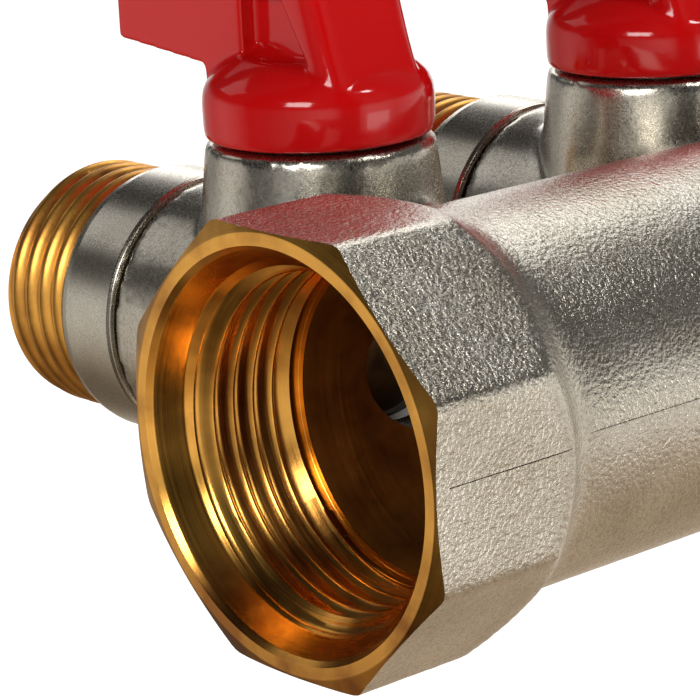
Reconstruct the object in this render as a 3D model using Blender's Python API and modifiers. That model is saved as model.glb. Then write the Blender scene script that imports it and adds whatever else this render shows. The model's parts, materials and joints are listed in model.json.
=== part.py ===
"""Distribution manifold: a bar with an octagonal threaded inlet and three built-in ball valves.

Metres. Origin: centre of the inlet face. +X runs along the bar, +Y towards the outlets, +Z up.
"""
import math

import bmesh
import bpy

# overall
BAR_R = 0.0142            # outside radius of the round bar
BAR_WALL = 0.0026         # bar wall left around the main bore
VALVE_COUNT = 3
VALVE_PITCH = 0.0368      # valve to valve along the bar
FIRST_VALVE_X = 0.0235    # inlet face to the first stem axis
END_MARGIN = 0.0145       # last stem axis to the shoulder of the male end
MALE_LENGTH = 0.0118      # shoulder to the end face of the male end

# octagonal inlet end
OCT_RISE = 0.00155        # flats stand this far above the bar radius
OCT_LENGTH = 0.0126       # inlet face to the back edge in the middle of a flat
RING_STEP = 0.00022       # front ring is turned this much inside the flats
SEAT_MOUTH_STEP = 0.00142  # flat to the mouth of the conical seal seat
SEAT_DEPTH = 0.0025
SHOULDER_DEPTH = 0.0036
THREAD_END = 0.0121       # depth where the inlet thread stops
THREAD_STEP = 0.00046     # thread crest radius over the main bore radius

# ball valve
BALL_BORE_R = 0.0050
BALL_LAND = 0.0031         # ball radius over its bore radius
GAP = 0.0003              # the least gap between two neighbouring pieces
HOUSING_WALL = 0.0024
PORT_WALL = 0.0023        # bar bore to the inner seat pocket
SEAT_THICK = 0.0025
BALL_PLAY = 0.0004

# stem
STEM_R = 0.0038
FLANGE_STEP = 0.0011
FLANGE_THICK = 0.0014
WASHER_THICK = 0.0006
O_RING_R = 0.0005         # section radius of the stem seals
TANG_HALF = 0.0015        # half thickness of the tang that turns the ball
TANG_WIDTH = 0.0070
DRIVE_HALF = 0.0022       # half width of the square drive
DRIVE_LENGTH = 0.0040
TAP_R = 0.00155

# neck and stops
NECK_HEIGHT = 0.0159      # bar axis to the ledge under the handle
NECK_DRAFT = 0.0006       # the neck is this much wider low down
SPIGOT_RISE = 0.0021
LUG_RISE = 0.0013
LUG_HALF_DEG = 11.0
STOP_SLACK_DEG = 3.6      # left between the stop faces at both ends of the turn
TURN_DEG = 90.0

# handle
CUP_SKIRT = 0.0015        # wall of the cup over the neck
CUP_ROOF = 0.0016
LEVER_HALF = 0.00485      # half width of the lever
LEVER_BACK = 0.0055       # stem axis to the back face, at the cup
LEVER_TIP = 0.0181        # stem axis to the tip
LEVER_HEIGHT = 0.0146     # ledge of the neck to the top of the lever
POCKET_DEPTH = 0.00145
SCREW_R = 0.00125
SCREW_HEAD_R = 0.0025
SCREW_HEAD_H = 0.0020

# outlet tailpiece
INSERT_LENGTH = 0.0065    # part screwed into the housing
COLLAR_LENGTH = 0.0070
OUTLET_THREAD = 0.0081
COLLAR_STEP = 0.0007      # collar over the thread radius
JOINT_GAP = 0.0007        # open joint between housing and collar
OUTLET_BORE_R = 0.0068

SIDES_BIG = 32
SIDES_MID = 20
SIDES_SMALL = 12

# worked out from the sizes above
BORE_R = BAR_R - BAR_WALL
OCT_APOTHEM = BAR_R + OCT_RISE
OCT_CORNER = OCT_APOTHEM / math.cos(math.radians(22.5))
THREAD_R = BORE_R + THREAD_STEP
MALE_R = BAR_R - 0.0011
MALE_BORE_R = MALE_R - 0.0036
BALL_R = BALL_BORE_R + BALL_LAND
PORT_R = BALL_BORE_R + 0.0002
CAVITY_R = BALL_R + BALL_PLAY
HOUSING_R = CAVITY_R + HOUSING_WALL
SEAT_BACK = BALL_R - 0.0006
SEAT_R = BALL_R - 0.0002
VALVE_Y = BORE_R + PORT_WALL + SEAT_BACK + GAP
INSERT_R = CAVITY_R + 0.00045
MOUTH = SEAT_BACK + GAP + INSERT_LENGTH - JOINT_GAP
COLLAR_START = MOUTH + JOINT_GAP
COLLAR_R = HOUSING_R
OUTLET_R = COLLAR_R - COLLAR_STEP
BODY_END = FIRST_VALVE_X + (VALVE_COUNT - 1) * VALVE_PITCH + END_MARGIN
FLANGE_R = STEM_R + FLANGE_STEP
FLANGE_Z = BALL_R + 0.0007
WASHER_Z = FLANGE_Z + FLANGE_THICK + GAP
STEM_SHOULDER_Z = WASHER_Z + WASHER_THICK + GAP
STEM_HOLE_R = STEM_R + GAP
GROOVE_R = STEM_HOLE_R - 2 * (O_RING_R + GAP)
LEDGE_Z = STEM_SHOULDER_Z + NECK_HEIGHT - 0.0114
SPIGOT_Z = LEDGE_Z + SPIGOT_RISE
HUB_R = STEM_R + 0.0014
SPIGOT_R = HUB_R + 0.0017
CUP_IN_R = SPIGOT_R + 0.0004
CUP_R = CUP_IN_R + CUP_SKIRT
NECK_R = CUP_R + 0.00005
CUP_Z = LEDGE_Z + 0.00035
CEILING_Z = SPIGOT_Z + LUG_RISE + GAP
CUP_TOP_Z = CEILING_Z + CUP_ROOF
DRIVE_TOP_Z = SPIGOT_Z + DRIVE_LENGTH
LEVER_TOP_Z = LEDGE_Z + LEVER_HEIGHT
SCREW_SEAT_Z = DRIVE_TOP_Z + 0.0030
BODY_LUG_DEG = (225.0 + 2 * LUG_HALF_DEG + STOP_SLACK_DEG,
                225.0 - TURN_DEG - 2 * LUG_HALF_DEG - STOP_SLACK_DEG)
HANDLE_LUG_DEG = 225.0


def clear_scene():
    for obj in list(bpy.data.objects):
        bpy.data.objects.remove(obj, do_unlink=True)


def collection(name, hidden=False):
    group = bpy.data.collections.new(name)
    bpy.context.scene.collection.children.link(group)
    group.hide_render = hidden
    return group


def material(name, colour, metallic, roughness):
    mat = bpy.data.materials.new(name)
    mat.use_nodes = True
    shader = mat.node_tree.nodes["Principled BSDF"]
    shader.inputs["Base Color"].default_value = (*colour, 1.0)
    shader.inputs["Metallic"].default_value = metallic
    shader.inputs["Roughness"].default_value = roughness
    return mat


def new_object(name, mesh, group, mat, at=(0.0, 0.0, 0.0), axis="Z"):
    obj = bpy.data.objects.new(name, mesh)
    group.objects.link(obj)
    mesh.materials.append(mat)
    obj.location = at
    if axis == "X":
        obj.rotation_euler = (0.0, math.pi / 2, 0.0)
    if axis == "Y":
        obj.rotation_euler = (-math.pi / 2, 0.0, 0.0)
    if group is CUTTERS:
        obj.display_type = "WIRE"
        obj.hide_render = True
    return obj


def turned(name, profile, group, mat, at=(0.0, 0.0, 0.0), axis="Z", sides=SIDES_MID, closed=False,
           lead=0.0):
    """Spin (radius, height) points about the axis; the outer side runs from high to low.

    lead turns the facets by that share of one facet, so that their corners stay clear of the corners
    of the solid they meet whatever the sizes are.
    """
    mesh = bpy.data.meshes.new(name)
    first = math.tau * lead / sides
    points = [(radius * math.cos(first), radius * math.sin(first), height) for radius, height in profile]
    edges = [(i, i + 1) for i in range(len(points) - 1)]
    if closed:
        edges.append((len(points) - 1, 0))
    mesh.from_pydata(points, edges, [])
    obj = new_object(name, mesh, group, mat, at, axis)
    screw = obj.modifiers.new("turn", "SCREW")
    screw.axis = "Z"
    screw.angle = math.tau
    screw.steps = sides
    screw.render_steps = sides
    screw.use_merge_vertices = True
    screw.merge_threshold = 0.00001
    screw.use_smooth_shade = False
    return obj


def extruded(name, outline, start, length, group, mat, at=(0.0, 0.0, 0.0), plane="XY"):
    """A straight prism: outline points lie in the plane, the length runs across it."""
    mesh = bpy.data.meshes.new(name)
    bm = bmesh.new()
    low = []
    for a, b in outline:
        place = (a, b, start) if plane == "XY" else (start, a, b)
        low.append(bm.verts.new(place))
    face = bm.faces.new(low)
    made = bmesh.ops.extrude_face_region(bm, geom=[face])
    shift = (0.0, 0.0, length) if plane == "XY" else (length, 0.0, 0.0)
    verts = [item for item in made["geom"] if isinstance(item, bmesh.types.BMVert)]
    bmesh.ops.translate(bm, vec=shift, verts=verts)
    bmesh.ops.recalc_face_normals(bm, faces=bm.faces)
    bm.to_mesh(mesh)
    bm.free()
    return new_object(name, mesh, group, mat, at)


def ball_mesh(name, radius, group, mat, at):
    mesh = bpy.data.meshes.new(name)
    bm = bmesh.new()
    bmesh.ops.create_uvsphere(bm, u_segments=16, v_segments=10, radius=radius)
    bm.to_mesh(mesh)
    bm.free()
    return new_object(name, mesh, group, mat, at)


def combine(target, operation, tool):
    step = target.modifiers.new(operation.lower() + "_" + tool.name, "BOOLEAN")
    step.operation = operation
    step.solver = "EXACT"
    step.material_mode = "TRANSFER"
    step.object = tool


def torus_profile(centre_r, centre_h, section_r, count=6):
    points = []
    for i in range(count):
        angle = math.pi / 2 - i * math.tau / count
        points.append((centre_r + section_r * math.cos(angle), centre_h + section_r * math.sin(angle)))
    return points


def sector(inner, outer, centre_deg, half_deg, count=3):
    points = []
    for i in range(count + 1):
        angle = math.radians(centre_deg - half_deg + 2 * half_deg * i / count)
        points.append((outer * math.cos(angle), outer * math.sin(angle)))
    for i in range(count + 1):
        angle = math.radians(centre_deg + half_deg - 2 * half_deg * i / count)
        points.append((inner * math.cos(angle), inner * math.sin(angle)))
    return points


def square(half):
    return [(-half, -half), (half, -half), (half, half), (-half, half)]


def rectangle(half_x, half_y):
    return [(-half_x, -half_y), (half_x, -half_y), (half_x, half_y), (-half_x, half_y)]


def octagon_prism():
    mesh = bpy.data.meshes.new("manifold_body")
    bm = bmesh.new()
    length = OCT_LENGTH + 0.0012
    ring = []
    for i in range(8):
        angle = math.radians(22.5 + 45.0 * i)
        ring.append(bm.verts.new((0.0, OCT_CORNER * math.cos(angle), OCT_CORNER * math.sin(angle))))
    face = bm.faces.new(ring)
    made = bmesh.ops.extrude_face_region(bm, geom=[face])
    verts = [item for item in made["geom"] if isinstance(item, bmesh.types.BMVert)]
    bmesh.ops.translate(bm, vec=(length, 0.0, 0.0), verts=verts)
    bmesh.ops.recalc_face_normals(bm, faces=bm.faces)
    bm.to_mesh(mesh)
    bm.free()
    return new_object("manifold_body", mesh, MODEL, NICKEL)


def octagon_envelope():
    """The lathe cuts that take the corners off the octagon, front and back."""
    back = OCT_LENGTH
    ring = OCT_APOTHEM - RING_STEP
    corner = OCT_CORNER + 0.0003
    profile = [(0.0, back + 0.0022), (BAR_R - 0.0004, back + 0.0022), (BAR_R + 0.0002, back + 0.0011),
               (OCT_APOTHEM, back), (corner, back - 0.0020), (corner, 0.00068),
               (ring, 0.0), (0.0, 0.0)]
    return turned("cut_octagon_envelope", profile, CUTTERS, BRASS, axis="X", sides=SIDES_BIG, lead=0.5)


def bar_solid():
    groove = BODY_END + 0.0027
    groove_r = MALE_R - 0.0016
    end = BODY_END + MALE_LENGTH
    profile = [(0.0, end), (MALE_R - 0.0009, end), (MALE_R, end - 0.0009), (MALE_R, groove),
               (groove_r, groove), (groove_r, BODY_END), (BAR_R - 0.0004, BODY_END),
               (BAR_R, BODY_END - 0.0004), (BAR_R, 0.0020), (0.0, 0.0020)]
    return turned("add_bar", profile, CUTTERS, NICKEL, axis="X", sides=SIDES_BIG)


def main_bore():
    mouth = OCT_APOTHEM - SEAT_MOUTH_STEP
    seat = mouth - 0.00103
    far = BODY_END - 0.0030
    end = BODY_END + MALE_LENGTH
    profile = [(0.0, end + 0.0010), (MALE_BORE_R, end + 0.0010), (MALE_BORE_R, far),
               (BORE_R, far - 0.0015), (BORE_R, THREAD_END), (THREAD_R, THREAD_END),
               (THREAD_R, SHOULDER_DEPTH + 0.0004), (THREAD_R + 0.0004, SHOULDER_DEPTH),
               (seat, SEAT_DEPTH), (mouth, 0.0003), (mouth + 0.0008, -0.0005), (0.0, -0.0005)]
    return turned("cut_main_bore", profile, CUTTERS, BRASS, axis="X", sides=SIDES_BIG)


def housing_solid(tag, x):
    profile = [(0.0, VALVE_Y + MOUTH), (HOUSING_R - 0.0006, VALVE_Y + MOUTH),
               (HOUSING_R, VALVE_Y + MOUTH - 0.0006), (HOUSING_R, 0.0020), (0.0, 0.0020)]
    return turned("add_housing" + tag, profile, CUTTERS, NICKEL, (x, 0.0, 0.0), "Y", SIDES_BIG)


def neck_solid(tag, x):
    wide = NECK_R + NECK_DRAFT
    profile = [(0.0, SPIGOT_Z), (SPIGOT_R, SPIGOT_Z), (SPIGOT_R, LEDGE_Z), (NECK_R, LEDGE_Z),
               (wide, LEDGE_Z - 0.0062), (wide, 0.0010), (0.0, 0.0010)]
    return turned("add_neck" + tag, profile, CUTTERS, NICKEL, (x, VALVE_Y, 0.0), "Z", SIDES_MID)


def valve_cavity(tag, x):
    mid = VALVE_Y
    profile = [(0.0, mid + MOUTH + 0.0010), (INSERT_R + GAP, mid + MOUTH + 0.0010),
               (INSERT_R + GAP, mid + SEAT_BACK), (CAVITY_R, mid + SEAT_BACK),
               (CAVITY_R, mid - SEAT_BACK + SEAT_THICK + 0.0004),
               (SEAT_R + GAP, mid - SEAT_BACK + SEAT_THICK + 0.0004),
               (SEAT_R + GAP, mid - SEAT_BACK - GAP), (PORT_R, mid - SEAT_BACK - GAP),
               (PORT_R, BORE_R * 0.6), (0.0, BORE_R * 0.6)]
    return turned("cut_cavity" + tag, profile, CUTTERS, BRASS, (x, 0.0, 0.0), "Y", SIDES_MID)


def stem_hole(tag, x):
    profile = [(0.0, SPIGOT_Z + 0.0010), (STEM_HOLE_R, SPIGOT_Z + 0.0010),
               (STEM_HOLE_R, STEM_SHOULDER_Z), (FLANGE_R + 0.0004, STEM_SHOULDER_Z),
               (FLANGE_R + 0.0004, BALL_R * 0.6), (0.0, BALL_R * 0.6)]
    return turned("cut_stem_hole" + tag, profile, CUTTERS, BRASS, (x, VALVE_Y, 0.0), "Z", SIDES_MID, lead=0.5)


def stop_lug(tag, x, degrees):
    outline = sector(HUB_R + GAP, SPIGOT_R - 0.0002, degrees, LUG_HALF_DEG)
    length = LUG_RISE + 0.0004
    return extruded("add_stop" + tag, outline, SPIGOT_Z - 0.0004, length, CUTTERS, NICKEL,
                    (x, VALVE_Y, 0.0))


def build_body():
    body = octagon_prism()
    combine(body, "INTERSECT", octagon_envelope())
    combine(body, "UNION", bar_solid())
    for index, x in enumerate(VALVE_XS):
        combine(body, "UNION", housing_solid("_%d" % (index + 1), x))
        combine(body, "UNION", neck_solid("_%d" % (index + 1), x))
    combine(body, "DIFFERENCE", main_bore())
    for index, x in enumerate(VALVE_XS):
        combine(body, "DIFFERENCE", valve_cavity("_%d" % (index + 1), x))
        combine(body, "DIFFERENCE", stem_hole("_%d" % (index + 1), x))
        for side, degrees in zip("ab", BODY_LUG_DEG):
            combine(body, "UNION", stop_lug("_%d%s" % (index + 1, side), x, degrees))
    return body


def build_end_ring():
    section = 0.00095
    centre = MALE_R - 0.0016 + GAP + section
    profile = torus_profile(centre, BODY_END + GAP + section, section, 6)
    turned("end_o_ring", profile, MODEL, RUBBER, axis="X", sides=SIDES_MID, closed=True)


def build_ball(name, x):
    at = (x, VALVE_Y, 0.0)
    ball = ball_mesh(name, BALL_R, MODEL, CHROME, at)
    long = BALL_R + 0.0010
    profile = [(0.0, long), (BALL_BORE_R, long), (BALL_BORE_R, -long), (0.0, -long)]
    combine(ball, "DIFFERENCE", turned("cut_" + name, profile, CUTTERS, CHROME, at, "Y", 16))
    slot = rectangle(BALL_R + 0.0010, TANG_HALF + GAP)
    floor = FLANGE_Z - 0.0025 - GAP
    combine(ball, "DIFFERENCE", extruded("cut_slot_" + name, slot, floor, 0.0060, CUTTERS, CHROME, at))


def build_seat(name, x, side):
    """side -1 is the seat on the bar side of the ball, +1 the seat on the outlet side."""
    face_r = BALL_R + GAP
    back = SEAT_BACK
    front = SEAT_BACK - SEAT_THICK
    lip = math.sqrt(face_r ** 2 - front ** 2)
    inner = PORT_R + 0.00005
    start = math.asin(inner / face_r)
    stop = math.asin(lip / face_r)
    arc = []
    for i in range(3):
        angle = start + (stop - start) * i / 2
        arc.append((face_r * math.sin(angle), face_r * math.cos(angle)))
    section = [(inner, back), (SEAT_R, back), (SEAT_R, front)] + list(reversed(arc))
    if side < 0:
        section = [(radius, -height) for radius, height in reversed(section)]
    turned(name, section, MODEL, PTFE, (x, VALVE_Y, 0.0), "Y", SIDES_MID, closed=True)


def stem_groove_tops():
    pocket = 2 * (O_RING_R + GAP)
    low = STEM_SHOULDER_Z + 0.0009 + pocket
    return low, low + pocket + 0.0013


def build_stem(name, x):
    at = (x, VALVE_Y, 0.0)
    low, high = stem_groove_tops()
    pocket = 2 * (O_RING_R + GAP)
    profile = [(0.0, SPIGOT_Z), (STEM_R, SPIGOT_Z), (STEM_R, high), (GROOVE_R, high),
               (GROOVE_R, high - pocket), (STEM_R, high - pocket), (STEM_R, low), (GROOVE_R, low),
               (GROOVE_R, low - pocket), (STEM_R, low - pocket), (STEM_R, FLANGE_Z + FLANGE_THICK),
               (FLANGE_R, FLANGE_Z + FLANGE_THICK), (FLANGE_R, FLANGE_Z), (0.0, FLANGE_Z)]
    stem = turned(name, profile, MODEL, BRASS, at, "Z", SIDES_MID)
    tang = rectangle(TANG_WIDTH / 2, TANG_HALF)
    base = FLANGE_Z - 0.0025
    combine(stem, "UNION", extruded("add_tang_" + name, tang, base, 0.0028, CUTTERS, BRASS, at))
    drive = square(DRIVE_HALF)
    combine(stem, "UNION", extruded("add_drive_" + name, drive, SPIGOT_Z - 0.0003,
                                    DRIVE_LENGTH + 0.0003, CUTTERS, BRASS, at))
    tap = [(0.0, DRIVE_TOP_Z + 0.0010), (TAP_R, DRIVE_TOP_Z + 0.0010),
           (TAP_R, DRIVE_TOP_Z - 0.0036), (0.0, DRIVE_TOP_Z - 0.0036)]
    combine(stem, "DIFFERENCE", turned("cut_tap_" + name, tap, CUTTERS, BRASS, at, "Z", 16))


def build_stem_rings(prefix, x):
    low, high = stem_groove_tops()
    centre_r = GROOVE_R + GAP + O_RING_R
    drop = O_RING_R + GAP
    for label, top in (("lower", low), ("upper", high)):
        turned(prefix + "_o_ring_" + label, torus_profile(centre_r, top - drop, O_RING_R),
               MODEL, RUBBER, (x, VALVE_Y, 0.0), "Z", SIDES_SMALL, closed=True)


def build_washer(name, x):
    inner = STEM_HOLE_R
    profile = [(inner, WASHER_Z + WASHER_THICK), (FLANGE_R, WASHER_Z + WASHER_THICK),
               (FLANGE_R, WASHER_Z), (inner, WASHER_Z)]
    turned(name, profile, MODEL, PTFE, (x, VALVE_Y, 0.0), "Z", SIDES_SMALL, closed=True)


def cup_solid(name, at):
    top = CUP_TOP_Z
    profile = [(0.0, top), (CUP_R - 0.0020, top), (CUP_R - 0.0007, top - 0.0006),
               (CUP_R, top - 0.0020), (CUP_R, CUP_Z + 0.0004), (CUP_R - 0.0003, CUP_Z), (0.0, CUP_Z)]
    return turned(name, profile, MODEL, RED, at, "Z", SIDES_BIG)


def cup_cavity(name, at):
    """The space inside the skirt, leaving the hub that fits over the square drive."""
    hub = SPIGOT_Z + GAP
    profile = [(HUB_R, CEILING_Z), (CUP_IN_R, CEILING_Z), (CUP_IN_R, CUP_Z - 0.0010),
               (0.0, CUP_Z - 0.0010), (0.0, hub), (HUB_R, hub)]
    return turned("cut_cup_" + name, profile, CUTTERS, RED, at, "Z", SIDES_MID, closed=True)


def lever_solid(name, at):
    top = LEVER_TOP_Z
    foot = CEILING_Z + 0.0004
    lean = 0.17 * (top - foot)
    outline = [(-LEVER_BACK, foot), (0.0065, foot), (0.0077, CUP_TOP_Z + 0.0001),
               (LEVER_TIP, CUP_TOP_Z + 0.0012), (LEVER_TIP, top - 0.0016), (LEVER_TIP - 0.0016, top),
               (-LEVER_BACK + lean + 0.0012, top), (-LEVER_BACK + lean, top - 0.0010)]
    return extruded("add_lever_" + name, outline, -LEVER_HALF, 2 * LEVER_HALF, CUTTERS, RED, at, "YZ")


def pocket_cut(name, at, side):
    low = CUP_TOP_Z + 0.0014
    high = LEVER_TOP_Z - 0.0022
    outline = [(-0.0040, low), (0.0027, low), (0.0027, high), (-0.0012, high)]
    start = LEVER_HALF - POCKET_DEPTH if side > 0 else -LEVER_HALF - 0.0010
    tool = extruded("cut_pocket_" + name + "ab"[side > 0], outline, start, POCKET_DEPTH + 0.0010,
                    CUTTERS, RED, at, "YZ")
    return tool


def build_handle(name, x):
    at = (x, VALVE_Y, 0.0)
    handle = cup_solid(name, at)
    combine(handle, "UNION", lever_solid(name, at))
    combine(handle, "DIFFERENCE", cup_cavity(name, at))
    drive = square(DRIVE_HALF + GAP)
    combine(handle, "DIFFERENCE", extruded("cut_drive_" + name, drive, CUP_Z,
                                           DRIVE_TOP_Z + GAP - CUP_Z, CUTTERS, RED, at))
    screw_hole = [(0.0, LEVER_TOP_Z + 0.0010), (SCREW_HEAD_R + GAP, LEVER_TOP_Z + 0.0010),
                  (SCREW_HEAD_R + GAP, SCREW_SEAT_Z), (SCREW_R + GAP, SCREW_SEAT_Z),
                  (SCREW_R + GAP, DRIVE_TOP_Z - 0.0005), (0.0, DRIVE_TOP_Z - 0.0005)]
    combine(handle, "DIFFERENCE", turned("cut_screw_" + name, screw_hole, CUTTERS, RED, at, "Z", 12))
    for side in (-1, 1):
        combine(handle, "DIFFERENCE", pocket_cut(name, at, side))
    lug = sector(HUB_R - 0.0003, CUP_IN_R + 0.0003, HANDLE_LUG_DEG, LUG_HALF_DEG)
    combine(handle, "UNION", extruded("add_lug_" + name, lug, SPIGOT_Z + GAP,
                                      CEILING_Z - SPIGOT_Z, CUTTERS, RED, at))


def build_screw(name, x):
    seat = SCREW_SEAT_Z + GAP
    head = seat + SCREW_HEAD_H
    tip = DRIVE_TOP_Z - 0.0032
    at = (x, VALVE_Y, 0.0)
    profile = [(0.0, head), (SCREW_HEAD_R - 0.0005, head), (SCREW_HEAD_R, head - 0.0006),
               (SCREW_HEAD_R, seat), (SCREW_R, seat), (SCREW_R, tip), (0.0, tip)]
    screw = turned(name, profile, MODEL, STEEL, at, "Z", 12)
    slot = rectangle(0.0018, 0.00035)
    combine(screw, "DIFFERENCE", extruded("cut_slot_" + name, slot, head - 0.0009, 0.0020,
                                          CUTTERS, STEEL, at))


def build_cap(name, x):
    top = LEVER_TOP_Z - 0.0003
    profile = [(0.0, top), (SCREW_HEAD_R - 0.0002, top), (SCREW_HEAD_R, top - 0.0002),
               (SCREW_HEAD_R, top - 0.0012), (0.0, top - 0.0012)]
    turned(name, profile, MODEL, RED, (x, VALVE_Y, 0.0), "Z", 12)


def build_tailpiece(name, x):
    base = SEAT_BACK + GAP
    joint = COLLAR_START
    thread = joint + COLLAR_LENGTH
    end = thread + OUTLET_THREAD
    undercut = joint - 0.0020
    profile = [(OUTLET_BORE_R, end), (OUTLET_R - 0.0009, end), (OUTLET_R, end - 0.0009),
               (OUTLET_R, thread), (OUTLET_R + 0.0001, thread), (COLLAR_R - 0.0002, thread - 0.0013),
               (COLLAR_R, thread - 0.0024), (COLLAR_R, joint + 0.0006), (COLLAR_R - 0.0006, joint),
               (INSERT_R - 0.00145, joint), (INSERT_R - 0.00145, undercut), (INSERT_R, undercut),
               (INSERT_R, base + 0.0004), (INSERT_R - 0.0004, base), (PORT_R, base),
               (PORT_R, joint), (OUTLET_BORE_R, joint + 0.0030)]
    return turned(name, profile, MODEL, BRASS, (x, VALVE_Y, 0.0), "Y", SIDES_MID, closed=True)


def build_tail_ring(name, x):
    section = 0.000575
    centre = INSERT_R - 0.00145 + GAP + section
    place = COLLAR_START - GAP - section - 0.0004
    turned(name, torus_profile(centre, place, section), MODEL, RUBBER, (x, VALVE_Y, 0.0), "Y",
           SIDES_MID, closed=True)


def build_valve(number, x):
    prefix = "valve_%d" % number
    build_ball(prefix + "_ball", x)
    build_seat(prefix + "_seat_inner", x, -1)
    build_seat(prefix + "_seat_outer", x, 1)
    build_stem(prefix + "_stem", x)
    build_stem_rings(prefix, x)
    build_washer(prefix + "_thrust_washer", x)
    build_handle(prefix + "_handle", x)
    build_screw(prefix + "_screw", x)
    build_cap(prefix + "_cap", x)
    build_tailpiece(prefix + "_tailpiece", x)
    build_tail_ring(prefix + "_tail_o_ring", x)


clear_scene()
MODEL = collection("valve_manifold")
CUTTERS = collection("cutters", hidden=True)
NICKEL = material("nickel_plate", (0.56, 0.53, 0.47), 1.0, 0.38)
BRASS = material("turned_brass", (0.78, 0.55, 0.24), 1.0, 0.28)
CHROME = material("chrome", (0.62, 0.63, 0.65), 1.0, 0.08)
STEEL = material("zinc_steel", (0.55, 0.56, 0.58), 1.0, 0.35)
RED = material("red_plastic", (0.55, 0.01, 0.015), 0.0, 0.25)
PTFE = material("ptfe", (0.85, 0.85, 0.82), 0.0, 0.45)
RUBBER = material("black_rubber", (0.02, 0.02, 0.02), 0.0, 0.6)
VALVE_XS = [FIRST_VALVE_X + i * VALVE_PITCH for i in range(VALVE_COUNT)]

build_body()
build_end_ring()
for number, x in enumerate(VALVE_XS, 1):
    build_valve(number, x)
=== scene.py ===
# %% [markdown]
# # A brass distribution manifold with three ball valves
# This notebook dresses a manifold bar for a heating or water system. The real thing is a brass forging
# with nickel plate, machined at its ends, with red plastic handles. A forging is soft and grainy where it
# left the die and sharp where a cutter has passed, so the model is made in that order too: first the
# forging, then the machining. The frame that is loaded here already holds every piece at its true size.

import json
import math

import bpy
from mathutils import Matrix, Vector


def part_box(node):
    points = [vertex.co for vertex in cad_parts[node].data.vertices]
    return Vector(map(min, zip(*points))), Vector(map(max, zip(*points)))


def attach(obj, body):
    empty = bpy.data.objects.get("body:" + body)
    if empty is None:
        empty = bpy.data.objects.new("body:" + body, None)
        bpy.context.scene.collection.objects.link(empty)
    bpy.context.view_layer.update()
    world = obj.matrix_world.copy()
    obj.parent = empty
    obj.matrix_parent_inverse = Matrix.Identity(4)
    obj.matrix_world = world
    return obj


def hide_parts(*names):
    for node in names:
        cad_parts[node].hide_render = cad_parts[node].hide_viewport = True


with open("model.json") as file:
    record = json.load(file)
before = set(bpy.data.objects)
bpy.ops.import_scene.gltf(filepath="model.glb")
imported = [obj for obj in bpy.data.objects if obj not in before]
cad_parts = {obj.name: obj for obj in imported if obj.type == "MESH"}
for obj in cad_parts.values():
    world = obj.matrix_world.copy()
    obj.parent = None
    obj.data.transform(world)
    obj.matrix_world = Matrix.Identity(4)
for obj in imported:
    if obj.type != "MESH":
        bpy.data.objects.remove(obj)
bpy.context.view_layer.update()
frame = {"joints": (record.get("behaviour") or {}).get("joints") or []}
stems = [joint["pos_m"] for joint in frame["joints"]]
print("valves at", [round(stem[0], 4) for stem in stems])

# %% [markdown]
# The sizes come from the frame. The flats of the octagon reach lowest, so the body's box gives the
# distance from the bore's axis to a flat, and the bar is a little smaller than that.

# %% Read the sizes
MM = 0.001
body_low, body_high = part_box("manifold_body")
collar_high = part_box("valve_1_tailpiece")[1]
flat = -body_low[2]
corner = flat / math.cos(math.radians(22.5))
bar_r = flat - 1.55 * MM
bore_r = bar_r - 2.6 * MM
bar_end = stems[-1][0] + 14.5 * MM
far_end = body_high[0]
valve_y = stems[0][1]
collar_r = collar_high[2]
mouth_y = valve_y + 13.6 * MM
male_r = bar_r - 1.1 * MM
print("flat %.2f mm, bar %.2f mm, far end %.1f mm" % (flat / MM, bar_r / MM, far_end / MM))

# %% [markdown]
# ## Camera, floor and light
# Metal shows what stands around it, so the lights matter as much as the shapes. One soft box stands to
# the right and one to the left, the floor is pale, and the space above is darker, which gives the plated
# flats their dark and light bands.

# %% The camera
camera_place = (-0.12709, -0.15597, 0.06189)
camera_turn_deg = (74.818, 2.578, -41.353)
camera_data = bpy.data.cameras.new("camera")
camera = bpy.data.objects.new("camera", camera_data)
bpy.context.scene.collection.objects.link(camera)
camera.location = camera_place
camera.rotation_euler = [math.radians(angle) for angle in camera_turn_deg]
camera_data.sensor_width = 36.0
camera_data.lens = 159.9
camera_data.clip_start = 0.01
bpy.context.scene.camera = camera
bpy.context.scene.view_settings.view_transform = "Standard"
print("camera at", tuple(camera.location))


# %% [markdown]
# A soft box is an area light that looks at the object. The helper takes the compass direction and the
# height it shines from, both in degrees, how big it is, and how bright its face is. Brightness is what a
# mirror would show, so the power follows from it and the area. The key box is bright and stands high on
# the left: the handles' rounded edges show it as a white line. The small round box makes the bright spot
# on the rim of each cup. The fill only lightens the plastic, so the metal is told not to mirror it.

# %% Soft boxes
light_distance = 0.8
light_target = Vector((0.02, 0.0, 0.0))


def soft_box(name, compass, height, width, tall, glow, shape="RECTANGLE"):
    data = bpy.data.lights.new(name, "AREA")
    data.shape = shape
    data.size = width
    data.size_y = tall
    data.energy = glow * math.pi * width * tall
    light = bpy.data.objects.new(name, data)
    bpy.context.scene.collection.objects.link(light)
    turn_by, lift_by = math.radians(compass), math.radians(height)
    aim = Vector((math.cos(turn_by) * math.cos(lift_by), math.sin(turn_by) * math.cos(lift_by),
                     math.sin(lift_by)))
    light.location = light_target + aim * light_distance
    light.rotation_euler = aim.to_track_quat("Z", "Y").to_euler()
    return light


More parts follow.
